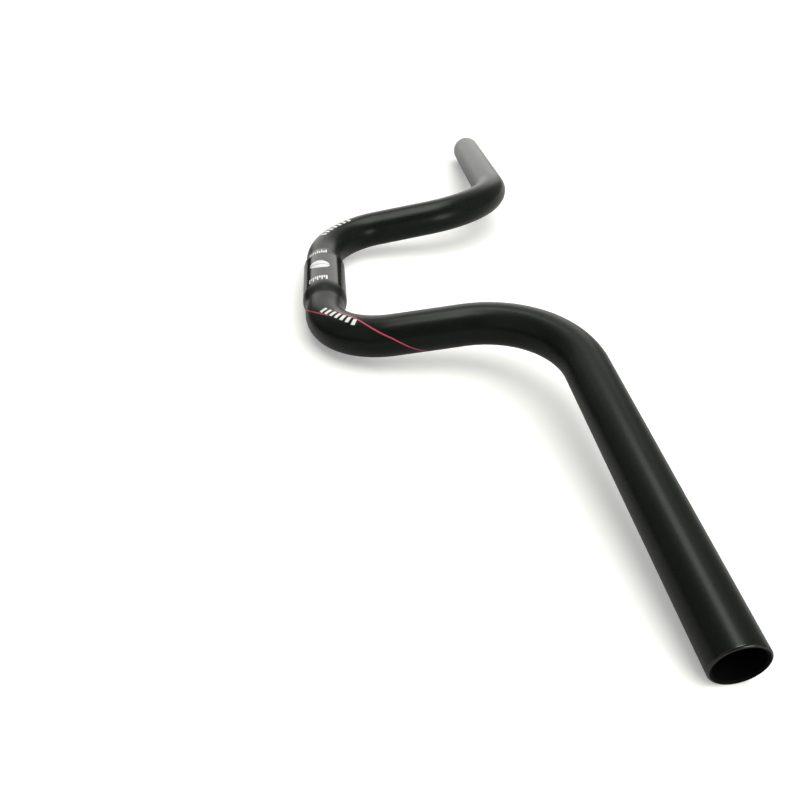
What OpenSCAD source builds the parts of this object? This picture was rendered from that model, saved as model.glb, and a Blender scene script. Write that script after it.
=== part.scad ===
// Folding bike handlebar: one open tube bent into an M, lying as it comes to rest on its back.
// The origin is the middle of the stem clamp section, on its axis. +X runs along the clamp axis,
// +Y points from the clamp towards the grips and +Z up. The bar rests on the underside of the
// clamp section and on the rims of its two ends, with the upper corners of the M in the air.
// All lengths are in millimetres and all angles in degrees.

/* [Overall] */
// Distance between the centres of the two bar ends
bar_width = 580; // [540:5:620]
// Distance from the clamp axis to the bar ends, along Y
end_reach = 131; // [115:1:145]
// How steeply the grips run down from the upper corners to the bar ends
grip_drop = 6.2; // [4:0.1:9]

/* [Tube] */
// Outer diameter of the arms and grips
tube_diameter = 22.2; // [20:0.1:24]
// Wall of the arms and grips
tube_wall = 1.8; // [1.2:0.1:2.6]

/* [Clamp section] */
// Outer diameter where the stem clamps the bar
clamp_diameter = 25.4; // [24:0.1:26.4]
// Wall where the stem clamps the bar
clamp_wall = 2.6; // [1.6:0.1:4]
// Length of the full diameter
clamp_length = 44; // [36:1:46]
// Length of the taper at each side, down to the tube's own diameter
taper_length = 10; // [6:0.5:12]

/* [Bends] */
// Where the clamp axis and the line of an arm meet, from the middle
lower_corner_x = 74; // [70:1:84]
// Where the lines of an arm and a grip meet, from the middle
upper_corner_x = 82; // [74:1:92]
// How far that upper corner lies from the clamp axis, along Y
upper_corner_y = 120.5; // [112:0.5:134]
// Bend radius on the tube's centre line, from the clamp section into an arm
lower_bend_radius = 39; // [34:1:42]
// Bend radius on the tube's centre line, from an arm into a grip
upper_bend_radius = 55; // [46:1:60]
// How much the tube draws in round a bend, on its radius
bend_draw = 0.03; // [0.02:0.01:0.08]

/* [Bar ends] */
// Rounding of the outer edge
rim_round = 0.8; // [0.4:0.1:1]
// Bevel of the mouth, inside
mouth_bevel = 0.6; // [0.3:0.1:0.8]

/* [Hidden] */
$fn = 96;

// Steps of the taper's smooth curve and of the rim's quarter round
taper_steps = 10;
rim_steps = 6;
// How far a straight length reaches into the bend next to it
bend_seat = 0.5;
// How far a cut runs past the face that it opens
cut_past = 1;

bar_black = [0.11, 0.12, 0.11];

tube_radius = tube_diameter / 2;
clamp_radius = clamp_diameter / 2;
bore_radius = tube_radius - tube_wall;
clamp_bore_radius = clamp_radius - clamp_wall;

// The floor touches the clamp section, and the rim of each end comes down to it.
floor_z = -clamp_radius;
end_z = floor_z + rim_round * (1 - sin(grip_drop)) + (tube_radius - rim_round) * cos(grip_drop);
grip_plan = norm([bar_width / 2 - upper_corner_x, end_reach - upper_corner_y]);
upper_corner_z = end_z + grip_plan * tan(grip_drop);

// The centre line of one half: along the clamp axis, round two corners and out to the end.
lower_corner = [lower_corner_x, 0, 0];
upper_corner = [upper_corner_x, upper_corner_y, upper_corner_z];
bar_end = [bar_width / 2, end_reach, end_z];
arm = upper_corner - lower_corner;
grip = bar_end - upper_corner;

// The same line as a bending plan: how much each bend turns, and how far the tube is rolled
// about its own axis before it.
lower_angle = acos(arm.x / norm(arm));
upper_angle = acos(arm * grip / (norm(arm) * norm(grip)));
lower_roll = atan2(arm.z, arm.y);
arm_side = [0, sin(lower_roll), -cos(lower_roll)];
arm_up = [-sin(lower_angle), cos(lower_angle) * cos(lower_roll), cos(lower_angle) * sin(lower_roll)];
upper_roll = atan2(-grip * arm_side, grip * arm_up);

// Straight lengths left between the bends
lower_setback = lower_bend_radius * tan(lower_angle / 2);
upper_setback = upper_bend_radius * tan(upper_angle / 2);
middle_run = lower_corner_x - lower_setback;
arm_run = norm(arm) - lower_setback - upper_setback;
grip_run = norm(grip) - upper_setback;

// Half of a smooth swell: from the full radius at the clamp down to the tube's own.
function taper(full, small) = [
    for (i = [0 : taper_steps])
        [small + (full - small) * (1 + cos(180 * i / taper_steps)) / 2,
         clamp_length / 2 + taper_length * i / taper_steps]
];

// The same outline walked from its end back to the middle, on the other side.
function flipped(outline) = [
    for (i = [len(outline) - 1 : -1 : 0])
        [outline[i].x, -outline[i].y]
];

// The straight middle of the tube, about Z, with the clamp section's swell.
module middle(full, small) {
    tip = middle_run + bend_seat;
    half = concat(taper(full, small), [[small, tip]]);
    rotate_extrude()
        polygon(concat([[0, -tip]], flipped(half), half, [[0, tip]]));
}

// A straight arm, about Z from its lower bend up.
module straight_arm(radius) {
    translate([0, 0, -bend_seat])
        cylinder(r = radius, h = arm_run + 2 * bend_seat);
}

// A bend that starts at the origin along +Z and turns towards +Y.
module bend(radius, bend_radius, angle) {
    translate([0, bend_radius, 0])
        rotate([90, 0, -90])
            rotate_extrude(angle = angle)
                translate([bend_radius, 0])
                    circle(r = radius - bend_draw);
}

// Goes on from where such a bend ends, along +Z again.
module after_bend(bend_radius, angle) {
    translate([0, bend_radius, 0])
        rotate([-angle, 0, 0])
            translate([0, -bend_radius, 0])
                children();
}

// From the end of the straight middle out to the start of a grip, with the grip as the child.
module arm_and_grip(radius) {
    translate([0, 0, middle_run])
        rotate([0, 0, lower_roll]) {
            bend(radius, lower_bend_radius, lower_angle);
            after_bend(lower_bend_radius, lower_angle) {
                straight_arm(radius);
                translate([0, 0, arm_run])
                    rotate([0, 0, upper_roll]) {
                        bend(radius, upper_bend_radius, upper_angle);
                        after_bend(upper_bend_radius, upper_angle)
                            children();
                    }
            }
        }
}

// The outside of a grip's straight length, about Z, with the rounded rim at its end.
module grip_outside() {
    rim = [
        for (i = [0 : rim_steps])
            [tube_radius - rim_round * (1 - cos(90 * i / rim_steps)),
             grip_run - rim_round * (1 - sin(90 * i / rim_steps))]
    ];
    rotate_extrude()
        polygon(concat([[0, -bend_seat], [tube_radius, -bend_seat]], rim, [[0, grip_run]]));
}

// The bore of a grip's straight length, opening through a bevelled mouth.
module grip_bore() {
    mouth_radius = bore_radius + mouth_bevel;
    rotate_extrude()
        polygon([
            [0, -bend_seat],
            [bore_radius, -bend_seat],
            [bore_radius, grip_run - mouth_bevel],
            [mouth_radius, grip_run],
            [mouth_radius, grip_run + cut_past],
            [0, grip_run + cut_past]
        ]);
}

// Both halves, the second one mirrored, laid along the clamp axis.
module both_sides() {
    for (side = [0, 1])
        mirror([side, 0, 0])
            rotate([0, 90, 0])
                children();
}

module handlebar() {
    color(bar_black)
        difference() {
            union() {
                rotate([0, 90, 0])
                    middle(clamp_radius, tube_radius);
                both_sides()
                    arm_and_grip(tube_radius)
                        grip_outside();
            }
            union() {
                rotate([0, 90, 0])
                    middle(clamp_bore_radius, bore_radius);
                both_sides()
                    arm_and_grip(bore_radius)
                        grip_bore();
            }
        }
}

handlebar();
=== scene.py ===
import math

import bpy
from mathutils import Matrix, Vector

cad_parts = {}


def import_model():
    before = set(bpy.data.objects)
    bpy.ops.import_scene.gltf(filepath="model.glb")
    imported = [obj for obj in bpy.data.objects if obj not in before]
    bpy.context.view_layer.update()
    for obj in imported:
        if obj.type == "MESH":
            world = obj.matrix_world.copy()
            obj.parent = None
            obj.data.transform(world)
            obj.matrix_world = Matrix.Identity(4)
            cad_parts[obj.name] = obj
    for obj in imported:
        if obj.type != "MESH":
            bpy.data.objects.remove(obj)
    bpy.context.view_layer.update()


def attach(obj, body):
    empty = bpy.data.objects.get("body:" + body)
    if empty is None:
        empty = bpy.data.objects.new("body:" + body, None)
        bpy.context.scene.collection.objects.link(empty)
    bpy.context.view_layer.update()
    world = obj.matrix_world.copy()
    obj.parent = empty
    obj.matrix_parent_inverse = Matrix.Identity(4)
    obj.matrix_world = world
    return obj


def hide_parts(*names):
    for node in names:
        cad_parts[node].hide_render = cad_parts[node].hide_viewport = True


# The looks of a folding bike handlebar: one swept tube, its printed marks and the studio.
# Lengths are in millimetres until they are multiplied by MM, and angles are in degrees. The
# studio's own lengths are in metres. A place on the bar is given by s, the arc length along the
# centre line from the middle, negative on the -X half, and by an angle round the tube.

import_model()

MM = 0.001

# Sizes of the bar, as in the CAD
BAR_WIDTH = 580
END_REACH = 131
GRIP_DROP = 6.2
TUBE_RADIUS = 11.1
BORE_RADIUS = 9.3
CLAMP_RADIUS = 12.7
CLAMP_BORE_RADIUS = 10.1
CLAMP_HALF = 22
TAPER = 10
LOWER_CORNER_X = 74
UPPER_CORNER_X = 82
UPPER_CORNER_Y = 120.5
LOWER_BEND = 39
UPPER_BEND = 55
RIM_ROUND = 0.8
MOUTH_BEVEL = 0.6
FLOOR_Z = -CLAMP_RADIUS

# Where two parts of the centre line meet, a place this close to the seam is on it
ON_SEAM = 1e-9


def centre_line():
    """The corners of one half's centre line, with its bend radii."""
    drop = math.radians(GRIP_DROP)
    end_z = FLOOR_Z + RIM_ROUND * (1 - math.sin(drop)) + (TUBE_RADIUS - RIM_ROUND) * math.cos(drop)
    plan = math.hypot(BAR_WIDTH / 2 - UPPER_CORNER_X, END_REACH - UPPER_CORNER_Y)
    lower = Vector((LOWER_CORNER_X, 0, 0))
    upper = Vector((UPPER_CORNER_X, UPPER_CORNER_Y, end_z + plan * math.tan(drop)))
    end = Vector((BAR_WIDTH / 2, END_REACH, end_z))
    return [Vector((0, 0, 0)), lower, upper, end], [LOWER_BEND, UPPER_BEND]


class Half:
    """The centre line of the +X half by its arc length, with an up that never twists round it.
    Each part is (begin, length, start, along, up, bend), where bend is None on a straight."""

    def __init__(self):
        corners, radii = centre_line()
        self.parts = []
        start = corners[0]
        up = Vector((0, 0, 1))
        length = 0.0
        for i, radius in enumerate(radii):
            along = (corners[i + 1] - corners[i]).normalized()
            after = (corners[i + 2] - corners[i + 1]).normalized()
            turn = along.angle(after)
            setback = radius * math.tan(turn / 2)
            straight = (corners[i + 1] - start).length - setback
            self.parts.append((length, straight, start, along, up, None))
            length += straight
            start = start + along * straight
            inward = (after - along * along.dot(after)).normalized()
            axis = along.cross(inward)
            self.parts.append((length, radius * turn, start, along, up, (radius, inward, axis)))
            length += radius * turn
            start = start + along * math.sin(turn) * radius + inward * (1 - math.cos(turn)) * radius
            up = Matrix.Rotation(turn, 3, axis) @ up
        along = (corners[-1] - start).normalized()
        straight = (corners[-1] - start).length
        self.parts.append((length, straight, start, along, up, None))
        self.length = length + straight

    def at(self, s):
        """Place, direction and up at arc length s."""
        part = self.parts[0]
        for candidate in self.parts:
            if s >= candidate[0] - ON_SEAM:
                part = candidate
        begin, _, start, along, up, bend = part
        d = s - begin
        if bend is None:
            return start + along * d, along, up
        radius, inward, axis = bend
        a = d / radius
        place = start + along * math.sin(a) * radius + inward * (1 - math.cos(a)) * radius
        return place, along * math.cos(a) + inward * math.sin(a), Matrix.Rotation(a, 3, axis) @ up


HALF = Half()


def swell(s, full, small):
    """A radius that is full over the clamp section and comes down to small by a smooth taper."""
    t = min(max((abs(s) - CLAMP_HALF) / TAPER, 0), 1)
    return full - (full - small) * t * t * (3 - 2 * t)


def outer_radius(s):
    return swell(s, CLAMP_RADIUS, TUBE_RADIUS)


def inner_radius(s):
    return swell(s, CLAMP_BORE_RADIUS, BORE_RADIUS)


def skin(s, angle, radius=None, lift=0.0):
    """The point at s and an angle round the tube, 0 on top of the clamp section and positive
    towards the grips, lifted off the surface."""
    place, along, up = HALF.at(min(abs(s), HALF.length))
    side = along.cross(up)
    a = math.radians(angle)
    out = up * math.cos(a) - side * math.sin(a)
    r = outer_radius(s) if radius is None else radius
    p = place + out * (r + lift)
    if s < 0:
        p.x = -p.x
    return p


def mesh_object(name, points, faces, finish, smooth=True):
    mesh = bpy.data.meshes.new(name)
    mesh.from_pydata([tuple(p * MM) for p in points], [], faces)
    mesh.update()
    for polygon in mesh.polygons:
        polygon.use_smooth = smooth
    obj = bpy.data.objects.new(name, mesh)
    bpy.context.scene.collection.objects.link(obj)
    mesh.materials.append(finish)
    return obj


# Materials

# The middle of a noise's range, which is stretched over the whole of a look
NOISE_LOW = 0.3
NOISE_HIGH = 0.7
# Scales of the noises, per metre: broad patches, fine unevenness and the mesh of a print screen
PATCH_SCALE = 38
PATCH_DETAIL = 4
FINE_SCALE = 900
FINE_DETAIL = 2
SCREEN_SCALE = 1400
GRAIN_STRENGTH = 0.25
HAZE_ROUGHNESS = 0.4
HAZE_TINT = (1, 0.98, 0.94, 1)
# How bright ink is where it lies thin
THIN_INK = 0.86


class Nodes:
    """A node tree with the few kinds of node that the looks are made of."""

    def __init__(self, tree):
        self.all = tree.nodes
        self.link = tree.links.new

    def add(self, kind):
        return self.all.new(kind)

    def noise(self, scale, detail):
        where = self.add("ShaderNodeTexCoord")
        noise = self.add("ShaderNodeTexNoise")
        noise.inputs["Scale"].default_value = scale
        noise.inputs["Detail"].default_value = detail
        self.link(where.outputs["Object"], noise.inputs["Vector"])
        return noise.outputs["Fac"]

    def map_range(self, kind, source, near, far, low, high):
        m = self.add("ShaderNodeMapRange")
        m.interpolation_type = kind
        m.inputs["From Min"].default_value = near
        m.inputs["From Max"].default_value = far
        m.inputs["To Min"].default_value = low
        m.inputs["To Max"].default_value = high
        self.link(source, m.inputs["Value"])
        return m.outputs["Result"]

    def spread(self, source, low=0.0, high=1.0):
        """A noise value spread between low and high."""
        return self.map_range("LINEAR", source, NOISE_LOW, NOISE_HIGH, low, high)

    def ramp(self, source, near, far, low=0.0, high=1.0):
        """A soft change from low, where the source is at near, to high, where it is at far."""
        return self.map_range("SMOOTHSTEP", source, near, far, low, high)

    def combine(self, operation, a, b):
        m = self.add("ShaderNodeMath")
        m.operation = operation
        self.link(a, m.inputs[0])
        self.link(b, m.inputs[1])
        return m.outputs[0]

    def mix(self, factor, first, second):
        """The first colour where the factor is 0 and the second where it is 1."""
        m = self.add("ShaderNodeMix")
        m.data_type = "RGBA"
        m.inputs["A"].default_value = first
        m.inputs["B"].default_value = second
        self.link(factor, m.inputs["Factor"])
        return m.outputs["Result"]

    def axes(self, kind):
        """X, Y and Z of a texture coordinate."""
        where = self.add("ShaderNodeTexCoord")
        split = self.add("ShaderNodeSeparateXYZ")
        self.link(where.outputs[kind], split.inputs[0])
        return split.outputs["X"], split.outputs["Y"], split.outputs["Z"]


def new_material(name):
    m = bpy.data.materials.new(name)
    m.use_nodes = True
    nodes = Nodes(m.node_tree)
    return m, nodes, nodes.all["Principled BSDF"]


def lacquer(name, colour, worn, roughness, uneven, grain, depth, index, haze=0.0, cast=(1, 1, 1)):
    """Black lacquer: a slightly uneven colour, a roughness that varies, and a fine orange-peel
    grain of some depth. The haze is a weak sheen and the cast tints what the lacquer mirrors."""
    m, nodes, shader = new_material(name)
    patches = nodes.spread(nodes.noise(PATCH_SCALE, PATCH_DETAIL))
    nodes.link(nodes.mix(patches, (*colour, 1), (*worn, 1)), shader.inputs["Base Color"])
    fine = nodes.noise(FINE_SCALE, FINE_DETAIL)
    rough = nodes.spread(fine, roughness - uneven, roughness + uneven)
    nodes.link(rough, shader.inputs["Roughness"])
    bump = nodes.add("ShaderNodeBump")
    bump.inputs["Strength"].default_value = GRAIN_STRENGTH
    bump.inputs["Distance"].default_value = depth * MM
    nodes.link(nodes.noise(grain, FINE_DETAIL), bump.inputs["Height"])
    nodes.link(bump.outputs["Normal"], shader.inputs["Normal"])
    shader.inputs["IOR"].default_value = index
    shader.inputs["Specular Tint"].default_value = (*cast, 1)
    shader.inputs["Sheen Weight"].default_value = haze
    shader.inputs["Sheen Roughness"].default_value = HAZE_ROUGHNESS
    shader.inputs["Sheen Tint"].default_value = HAZE_TINT
    return m


satin = lacquer(
    "satin_black_lacquer",
    colour=(0.0038, 0.0050, 0.0036),
    worn=(0.0052, 0.0066, 0.0048),
    roughness=0.30,
    uneven=0.03,
    grain=1500,
    depth=0.02,
    index=1.25,
    haze=0.05,
    cast=(0.93, 1, 0.91),
)
gloss = lacquer(
    "gloss_black_lacquer",
    colour=(0.0105, 0.011, 0.0105),
    worn=(0.018, 0.0185, 0.0175),
    roughness=0.13,
    uneven=0.03,
    grain=1900,
    depth=0.05,
    index=1.37,
)
bore_black = lacquer(
    "bore_bare_composite",
    colour=(0.0025, 0.0028, 0.0025),
    worn=(0.004, 0.0042, 0.004),
    roughness=0.5,
    uneven=0.05,
    grain=1200,
    depth=0.04,
    index=1.08,
)
rim_grey = lacquer(
    "rim_cut_edge",
    colour=(0.003, 0.0035, 0.003),
    worn=(0.009, 0.0095, 0.009),
    roughness=0.2,
    uneven=0.04,
    grain=1600,
    depth=0.03,
    index=1.42,
)


def print_ink(name, colour, roughness):
    """Screen-printed ink, a little uneven where the mesh of the screen shows."""
    m, nodes, shader = new_material(name)
    screen = nodes.spread(nodes.noise(SCREEN_SCALE, FINE_DETAIL))
    thin = [c * THIN_INK for c in colour]
    nodes.link(nodes.mix(screen, (*colour, 1), (*thin, 1)), shader.inputs["Base Color"])
    shader.inputs["Roughness"].default_value = roughness
    return m


white_ink = print_ink("white_print", (0.78, 0.79, 0.77), roughness=0.4)
crimson_ink = print_ink("crimson_print", (0.45, 0.055, 0.105), roughness=0.35)


# The tube: outside, rims, mouths and bore as one closed skin

AROUND = 96
RIM_STEPS = 6
# Steps on a straight and round a bend
OUTSIDE_STEPS = (2.0, 1.3)
BORE_STEPS = (4.0, 2.6)
# Steps from the edge of the gloss band to the end of the taper, and a margin at both ends
CLOSE_STEP = 0.5
CLOSE_MARGIN = 1
# From the bevel of the mouth to the first ring of the bore
BORE_START = 1.5
# Half the length of the gloss band over the clamp section
GLOSS_HALF = 20
SHARP_ANGLE = 38
# The places of the tube's materials in its list
SATIN, GLOSS, RIM, BORE = range(4)


def stations(steps, stop):
    """Values of s over the whole bar, closer together round the bends and over the tapers."""
    step_straight, step_bend = steps
    half = []
    for begin, length, *_, bend in HALF.parts:
        step = step_straight if bend is None else step_bend
        run = min(length, stop - begin)
        count = max(1, round(run / step))
        half += [begin + run * k / count for k in range(count)]
    half.append(stop)
    close_from = GLOSS_HALF - CLOSE_MARGIN
    close_to = CLAMP_HALF + TAPER + CLOSE_MARGIN
    count = round((close_to - close_from) / CLOSE_STEP)
    half = [s for s in half if not close_from < s < close_to]
    half += [close_from + CLOSE_STEP * k for k in range(count + 1)]
    half = sorted(set(round(s, 6) for s in half))
    return [-s for s in reversed(half) if s > 0] + half


def rim():
    """The rings of the +X rim and its mouth, each with s, radius and kind."""
    full = HALF.length
    out = []
    for k in range(1, RIM_STEPS + 1):
        a = math.pi / 2 * k / RIM_STEPS
        s = full - RIM_ROUND + RIM_ROUND * math.sin(a)
        r = TUBE_RADIUS - RIM_ROUND + RIM_ROUND * math.cos(a)
        out.append((s, r, "rim"))
    out.append((full, BORE_RADIUS + MOUTH_BEVEL, "bore"))
    out.append((full - MOUTH_BEVEL, BORE_RADIUS, "bore"))
    return out


def rings():
    """All rings in turn: the outside from -X to +X, the +X rim, the bore back and the -X rim."""
    full = HALF.length
    outside = stations(OUTSIDE_STEPS, full - RIM_ROUND)
    bore = stations(BORE_STEPS, full - MOUTH_BEVEL - BORE_START)
    out = [(s, outer_radius(s), "skin") for s in outside]
    out += rim()
    out += [(s, inner_radius(s), "bore") for s in reversed(bore)]
    out += [(-s, r, kind) for s, r, kind in reversed(rim())]
    return out


def finish_between(a, b):
    """Which of the tube's materials lies between two rings."""
    kinds = (a[2], b[2])
    middle = (a[0] + b[0]) / 2
    if "bore" in kinds:
        return BORE
    if "rim" in kinds:
        return RIM
    return GLOSS if abs(middle) < GLOSS_HALF else SATIN


def tube():
    loop = rings()
    points = [skin(s, 360 * k / AROUND, r) for s, r, _ in loop for k in range(AROUND)]
    faces = []
    finishes = []
    for i, ring in enumerate(loop):
        j = (i + 1) % len(loop)
        finishes += [finish_between(ring, loop[j])] * AROUND
        for k in range(AROUND):
            m = (k + 1) % AROUND
            faces.append((i * AROUND + k, i * AROUND + m, j * AROUND + m, j * AROUND + k))
    obj = mesh_object("handlebar_tube", points, faces, satin)
    for extra in (gloss, rim_grey, bore_black):
        obj.data.materials.append(extra)
    for polygon, finish in zip(obj.data.polygons, finishes):
        polygon.material_index = finish
    obj.data.set_sharp_from_angle(angle=math.radians(SHARP_ANGLE))
    return obj


bar = tube()


# Printed marks, each a thin skin of ink just proud of the lacquer

INK = 0.03
PATCH_ACROSS = 6
pieces = []


def strip_faces(rows, across, flip=False):
    """Faces over a strip of rows + 1 cross lines with across + 1 points each."""
    faces = []
    for i in range(rows):
        for k in range(across):
            p = i * (across + 1) + k
            q = p + across + 1
            faces.append((p, p + 1, q + 1, q) if flip else (p, q, q + 1, p + 1))
    return faces


def patch(name, outline, rows):
    """White ink over a strip: outline(t) gives the two ends of the strip's cross line, as
    (s, angle) pairs, for t from 0 to 1."""
    points = []
    for i in range(rows + 1):
        a, b = outline(i / rows)
        for k in range(PATCH_ACROSS + 1):
            f = k / PATCH_ACROSS
            s = a[0] + (b[0] - a[0]) * f
            angle = a[1] + (b[1] - a[1]) * f
            points.append(skin(s, angle, lift=INK))
    pieces.append(mesh_object(name, points, strip_faces(rows, PATCH_ACROSS), white_ink))


def degrees_for(mm, radius):
    return math.degrees(mm / radius)


# Angle scale: two rows of ticks, long and short by turns, from behind the top to just past it
TICKS = 9
TICK_FIRST = -42
TICK_LAST = 6.2
TICK_WIDTH = 0.95
LONG_TICK = 5.3
SHORT_TICK = 2.9
TICK_STEPS = 3
LEFT_ROW = 13.4
RIGHT_ROW = -20.2


def tick_row(name, line, way):
    """Ticks that start at s = line and run outwards, where way is 1 for +X and -1 for -X."""
    half = degrees_for(TICK_WIDTH / 2, CLAMP_RADIUS)
    for k in range(TICKS):
        angle = TICK_FIRST + (TICK_LAST - TICK_FIRST) * k / (TICKS - 1)
        reach = line + way * (LONG_TICK if k % 2 == 0 else SHORT_TICK)

        def outline(t, angle=angle, reach=reach):
            s = line + (reach - line) * t
            return (s, angle - half), (s, angle + half)
        patch("%s_%d" % (name, k + 1), outline, TICK_STEPS)


tick_row("scale_left", LEFT_ROW, 1)
tick_row("scale_right", RIGHT_ROW, -1)

# Centre mark: a plain oval split by a fine line
OVAL_ANGLE = -13.5
OVAL_AROUND = 12.8
OVAL_ALONG = 10.4
OVAL_MIDDLE = -3.6
OVAL_TILT = 0.06
OVAL_SPLIT = 0.5
OVAL_STEPS = 28


def half_oval(name, side):
    """The half of the oval on one side of its split, where side is 1 for +X and -1 for -X."""
    def outline(t):
        u = 2 * t - 1
        turn = degrees_for(OVAL_AROUND / 2, CLAMP_RADIUS) * u
        middle = OVAL_MIDDLE + OVAL_TILT * turn
        reach = max(OVAL_SPLIT / 2, OVAL_ALONG / 2 * math.sqrt(max(0, 1 - u ** 2)))
        angle = OVAL_ANGLE + turn
        return (middle + side * OVAL_SPLIT / 2, angle), (middle + side * reach, angle)
    patch(name, outline, OVAL_STEPS)


half_oval("centre_mark_left", 1)
half_oval("centre_mark_right", -1)

# A row of plain bars beside the pinstripe on each lower bend
PRINT_BARS = 7
PRINT_BAR_FROM = 53.2
PRINT_BAR_PITCH = 3.9
PRINT_BAR_ALONG = 2.1
PRINT_BAR_ACROSS = 4.0
PRINT_BAR_STEPS = 4


def bar_row(name, side, crown, peak, fall):
    """Bars across the tube whose middles follow crown - fall * (s - peak) squared."""
    half = degrees_for(PRINT_BAR_ACROSS / 2, TUBE_RADIUS)
    for k in range(PRINT_BARS):
        begin = PRINT_BAR_FROM + PRINT_BAR_PITCH * k
        middle = crown - fall * (begin + PRINT_BAR_ALONG / 2 - peak) ** 2

        def outline(t, begin=begin, middle=middle):
            s = side * (begin + PRINT_BAR_ALONG * t)
            return (s, middle - half), (s, middle + half)
        patch("%s_%d" % (name, k + 1), outline, PRINT_BAR_STEPS)


bar_row("bars_left", 1, crown=-18, peak=64, fall=0.06)
bar_row("bars_right", -1, crown=-12, peak=80, fall=0.01)

# Pinstripe: its width and steps, and how many steps its pointed tips take
STRIPE = 0.74
STRIPE_STEP = 0.6
STRIPE_LEAST_STEPS = 8
STRIPE_ACROSS = 3
STRIPE_LOOK_AHEAD = 0.2
TIP_STEPS = 5
TIP_START = 0.3


def stripe(name, path, span, side):
    """Crimson ink along path(s), which gives the angle, over a span of s on one side."""
    begin, end = span
    rows = max(STRIPE_LEAST_STEPS, round((end - begin) / STRIPE_STEP))

    def unrolled(s):
        return Vector((s, math.radians(path(s)) * TUBE_RADIUS))

    points = []
    for i in range(rows + 1):
        s = begin + (end - begin) * i / rows
        here = unrolled(s)
        run = (unrolled(s + STRIPE_LOOK_AHEAD) - here).normalized()
        left = Vector((-run.y, run.x))
        fade = min(1, (i + TIP_START) / TIP_STEPS, (rows - i + TIP_START) / TIP_STEPS)
        for k in range(STRIPE_ACROSS + 1):
            q = here + left * STRIPE * fade * (k / STRIPE_ACROSS - 0.5)
            points.append(skin(side * q.x, math.degrees(q.y / TUBE_RADIUS), lift=INK))
    faces = strip_faces(rows, STRIPE_ACROSS, flip=True)
    pieces.append(mesh_object(name, points, faces, crimson_ink))


# The main line runs along the top of the lower bend and then round the arm as a helix
MAIN_SPAN = (58, 116)
TOP_ANGLE = 2
HELIX_FROM = 76.6
HELIX_TURN = -4.1
HELIX_EASE = 60
# The branch comes up from behind the bend
BRANCH_SPAN = (26, 62)
BRANCH_TOP = 64
BRANCH_ANGLE = -26
BRANCH_SLOPE = 0.9
BRANCH_CURVE = 0.04
# The right-hand stripe lies lower on the back of its bend
RIGHT_SHIFT = -42


def main_line(s):
    """On top until the helix begins, then a steady turn, with a soft change between them."""
    d = s - HELIX_FROM
    ease = (d + math.sqrt(d * d + HELIX_EASE)) / 2
    return TOP_ANGLE + HELIX_TURN * ease


def branch_line(s):
    """From behind the bend up to the row of bars, under which it ends."""
    left = BRANCH_TOP - s
    return BRANCH_ANGLE - BRANCH_SLOPE * left - BRANCH_CURVE * left * left


for side, hand, shift in ((1, "left", 0), (-1, "right", RIGHT_SHIFT)):
    stripe("pinstripe_%s" % hand, lambda s: main_line(s) + shift, MAIN_SPAN, side)
    stripe("pinstripe_branch_%s" % hand, lambda s: branch_line(s) + shift, BRANCH_SPAN, side)

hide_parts("handlebar")
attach(bar, "root")
for piece in pieces:
    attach(piece, "root")


# Studio: a white table in a dim room with a bright screen behind it. Two key panels and a front
# window show in the lacquer, and a high fill gives most of the light and the soft shadows.

# The table's white as seen straight, and the greyer one that the lacquer mirrors
TABLE_SEEN = (0.85, 0.85, 0.835, 1)
TABLE_MIRRORED = (0.46, 0.46, 0.45, 1)
TABLE_ROUGHNESS = 0.9
GLOW_TINT = (1, 1, 0.985, 1)
# Its glow near the bar and further away, and where along X the one turns into the other
SEEN_GLOW = (0.26, 0.42)
SEEN_GLOW_X = (-0.7, -1.3)
MIRRORED_GLOW = (0.04, 0.9)
MIRRORED_GLOW_X = (-0.15, -0.6)
# The table ends beside the clamp, so that the room behind it draws a dark line down the gloss
TABLE_EDGE = -60
TABLE_REACH = 1700
TABLE_GAP = 0.05


def floor():
    m, nodes, shader = new_material("table_white")
    shader.inputs["Roughness"].default_value = TABLE_ROUGHNESS
    shader.inputs["Specular IOR Level"].default_value = 0.0
    rays = nodes.add("ShaderNodeLightPath")
    seen = rays.outputs["Is Camera Ray"]
    mirrored = rays.outputs["Is Glossy Ray"]
    nodes.link(nodes.mix(seen, TABLE_MIRRORED, TABLE_SEEN), shader.inputs["Base Color"])
    x = nodes.axes("Object")[0]
    seen_glow = nodes.combine("MULTIPLY", seen, nodes.ramp(x, *SEEN_GLOW_X, *SEEN_GLOW))
    mirrored_glow = nodes.ramp(x, *MIRRORED_GLOW_X, *MIRRORED_GLOW)
    mirrored_glow = nodes.combine("MULTIPLY", mirrored, mirrored_glow)
    glow = nodes.add("ShaderNodeEmission")
    glow.inputs["Color"].default_value = GLOW_TINT
    nodes.link(nodes.combine("ADD", seen_glow, mirrored_glow), glow.inputs["Strength"])
    both = nodes.add("ShaderNodeAddShader")
    nodes.link(shader.outputs["BSDF"], both.inputs[0])
    nodes.link(glow.outputs["Emission"], both.inputs[1])
    nodes.link(both.outputs["Shader"], nodes.all["Material Output"].inputs["Surface"])
    z = FLOOR_Z - TABLE_GAP
    corners = [
        Vector((-TABLE_REACH, TABLE_EDGE, z)),
        Vector((TABLE_REACH, TABLE_EDGE, z)),
        Vector((TABLE_REACH, TABLE_REACH, z)),
        Vector((-TABLE_REACH, TABLE_REACH, z)),
    ]
    obj = mesh_object("table", corners, [(0, 1, 2, 3)], m, smooth=False)


# The room by direction, X towards the front, Y across and Z up. A pair of numbers says where a
# soft change begins and where it ends, as a part of the direction's length.
ROOM = (0.03, 0.3)
ROOM_X = (0.3, -0.5)
# The screen at the back, dimmer at its top
SCREEN = (0.6, 1.45)
SCREEN_X = (-0.2, -0.5)
SCREEN_Y = (0.6, 0.4)
SCREEN_Z = (0.66, 0.40)
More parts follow.
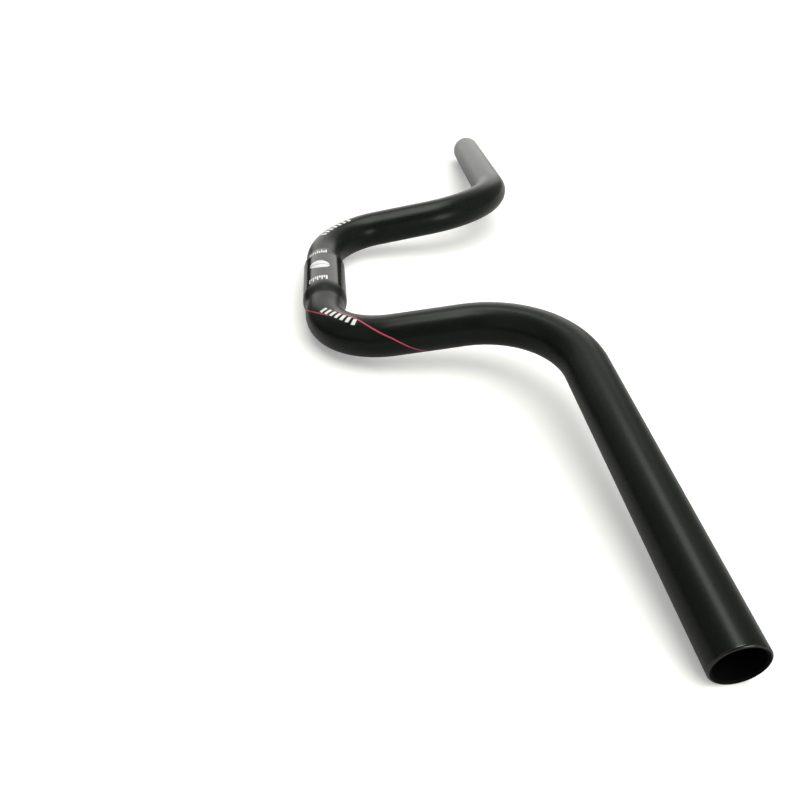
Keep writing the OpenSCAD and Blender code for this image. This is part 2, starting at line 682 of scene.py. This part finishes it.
# A weak light from both sides, seen in the front of the bends
SIDES = (0.0, 0.5)
SIDES_X = (-0.1, 0.15)
SIDES_Y = (0.35, 0.6)
# All of it fades out just above the table, apart from a patch straight at the back
TABLE_LINE_Z = (0.04, 0.12)
STRAIGHT_BACK_X = (-0.93, -0.965)
ROOM_TINT = (1, 1, 0.97, 1)
# What the camera sees past the table
BACKDROP = 1.1


def world():
    w = bpy.data.worlds.new("studio")
    bpy.context.scene.world = w
    w.use_nodes = True
    nodes = Nodes(w.node_tree)
    x, y, z = nodes.axes("Generated")
    across = nodes.add("ShaderNodeMath")
    across.operation = "ABSOLUTE"
    nodes.link(y, across.inputs[0])
    y = across.outputs[0]
    room = nodes.ramp(x, *ROOM_X, *ROOM)
    beside = nodes.combine("MULTIPLY", nodes.ramp(y, *SIDES_Y, *SIDES), nodes.ramp(x, *SIDES_X))
    behind = nodes.combine("MULTIPLY", nodes.ramp(y, *SCREEN_Y), nodes.ramp(x, *SCREEN_X))
    screen = nodes.combine("MULTIPLY", behind, nodes.ramp(z, *SCREEN_Z, *SCREEN))
    above = nodes.ramp(z, *TABLE_LINE_Z)
    above = nodes.combine("MAXIMUM", above, nodes.ramp(x, *STRAIGHT_BACK_X))
    level = nodes.combine("ADD", nodes.combine("ADD", room, beside), screen)
    level = nodes.combine("MULTIPLY", level, above)
    rays = nodes.add("ShaderNodeLightPath")
    strength = nodes.add("ShaderNodeMix")
    strength.data_type = "FLOAT"
    nodes.link(rays.outputs["Is Camera Ray"], strength.inputs["Factor"])
    nodes.link(level, strength.inputs["A"])
    strength.inputs["B"].default_value = BACKDROP
    back = nodes.all["Background"]
    back.inputs["Color"].default_value = ROOM_TINT
    nodes.link(strength.outputs["Result"], back.inputs["Strength"])


DAYLIGHT = (1.0, 1.0, 0.955)
# The point that every lamp faces
LAMP_AIM = Vector((0, 0.06, 0))


def lamp(name, direction, distance, size, radiance, glossy=True, diffuse=True):
    """A soft panel that faces the bar, as bright per area as a white card lit by radiance."""
    data = bpy.data.lights.new(name, "AREA")
    data.shape = "RECTANGLE"
    data.size = size[0]
    data.size_y = size[1]
    data.energy = radiance * math.pi * size[0] * size[1]
    data.color = DAYLIGHT
    obj = bpy.data.objects.new(name, data)
    bpy.context.scene.collection.objects.link(obj)
    way = Vector(direction).normalized()
    obj.location = LAMP_AIM + way * distance
    obj.rotation_euler = way.to_track_quat("Z", "Y").to_euler()
    obj.visible_glossy = glossy
    obj.visible_diffuse = diffuse


lamp(
    "key_back",
    direction=(-0.36, -0.02, 0.93),
    distance=1.8,
    size=(0.68, 0.6),
    radiance=5.4,
    diffuse=False,
)
lamp(
    "key_top",
    direction=(0.04, -0.02, 1.0),
    distance=1.8,
    size=(0.72, 0.88),
    radiance=8.8,
    diffuse=False,
)
lamp(
    "front_window",
    direction=(0.87, 0.42, 0.21),
    distance=1.8,
    size=(0.6, 0.8),
    radiance=7.0,
)
lamp(
    "high_fill",
    direction=(0.34, 0.27, 0.95),
    distance=2.4,
    size=(2.6, 2.6),
    radiance=3.4,
    glossy=False,
)
floor()
world()

# Camera, set from the photograph, with its focal length in pixels of the picture's width
CAMERA_AT = Vector((453.343, 2.564, 210.217)) * MM
CAMERA_YAW = 5.657
CAMERA_PITCH = 32.883
CAMERA_ROLL = 1.437
FOCAL = 815.072
PICTURE_WIDTH = 800
SENSOR = 36.0
CLIP_START = 0.01


def camera():
    yaw = math.radians(CAMERA_YAW)
    pitch = math.radians(CAMERA_PITCH)
    roll = math.radians(CAMERA_ROLL)
    level = Vector((-math.cos(yaw), math.sin(yaw), 0))
    forward = level * math.cos(pitch) - Vector((0, 0, math.sin(pitch)))
    right = forward.cross(Vector((0, 0, 1))).normalized()
    up = right.cross(forward)
    r = right * math.cos(roll) + up * math.sin(roll)
    u = up * math.cos(roll) - right * math.sin(roll)
    data = bpy.data.cameras.new("photo_camera")
    data.sensor_width = SENSOR
    data.lens = SENSOR * FOCAL / PICTURE_WIDTH
    data.clip_start = CLIP_START
    obj = bpy.data.objects.new("photo_camera", data)
    bpy.context.scene.collection.objects.link(obj)
    turned = Matrix((r, u, -forward)).transposed()
    obj.matrix_world = Matrix.Translation(CAMERA_AT) @ turned.to_4x4()
    bpy.context.scene.camera = obj


camera()
bpy.context.scene.view_settings.view_transform = "Standard"
